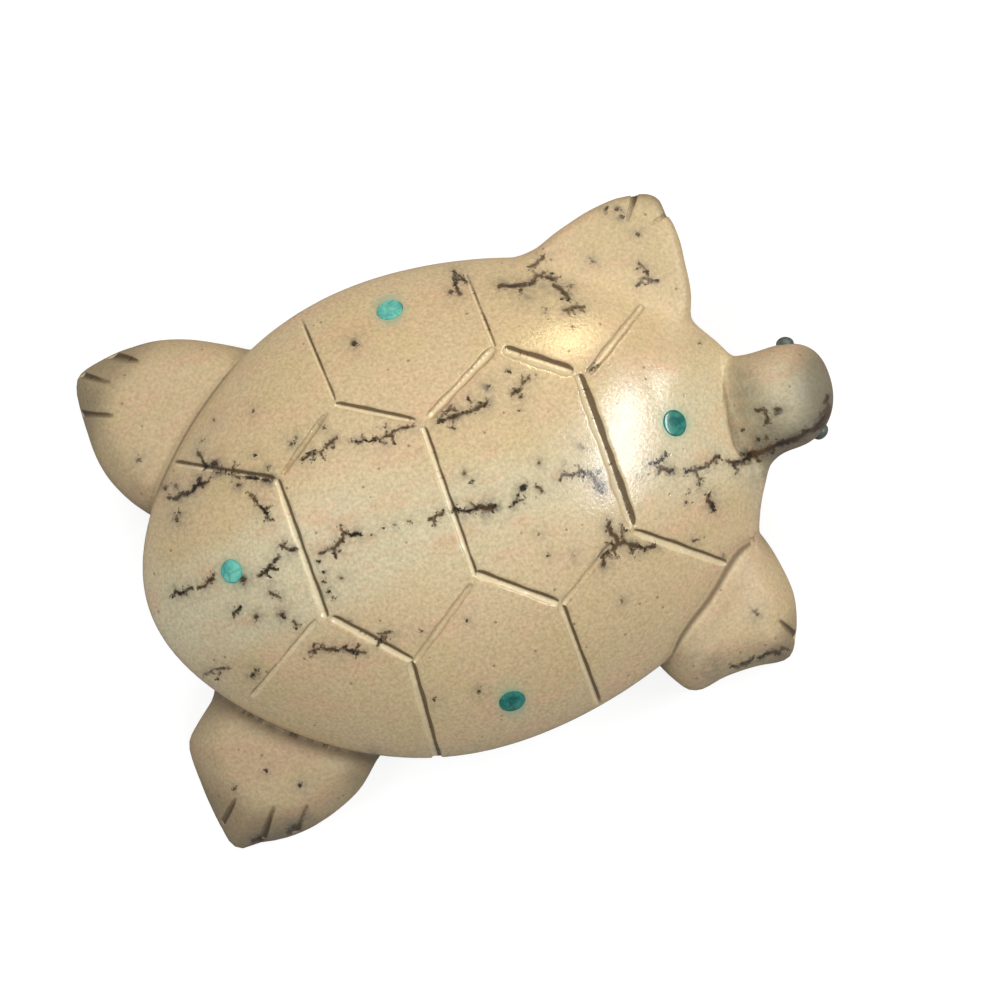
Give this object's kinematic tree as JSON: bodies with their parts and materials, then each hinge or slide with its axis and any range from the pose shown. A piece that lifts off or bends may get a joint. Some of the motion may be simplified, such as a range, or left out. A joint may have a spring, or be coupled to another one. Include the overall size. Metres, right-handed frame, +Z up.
{
  "type": "carved stone turtle fetish",
  "caption": "Small turtle carved from one veined stone, with plate lines cut in its domed shell and turquoise dots and eyes set in.",
  "frame": {"origin": "under the middle of the turtle's box, at the level of its soles", "axes": "+X to the head, +Y to the turtle's left side, +Z up"},
  "size_m": [0.0728, 0.0516, 0.022],
  "materials": {
    "stone": "hand-rubbed satin, cream to tan with black branching veins",
    "turquoise": "ground and polished, blue-green"
  },
  "bodies": {
    "root": {"turtle_body": "stone", "inlay_front": "turquoise", "inlay_rear": "turquoise", "inlay_left": "turquoise", "inlay_right": "turquoise", "eye_left": "turquoise", "eye_right": "turquoise"}
  },
  "joints": []
}
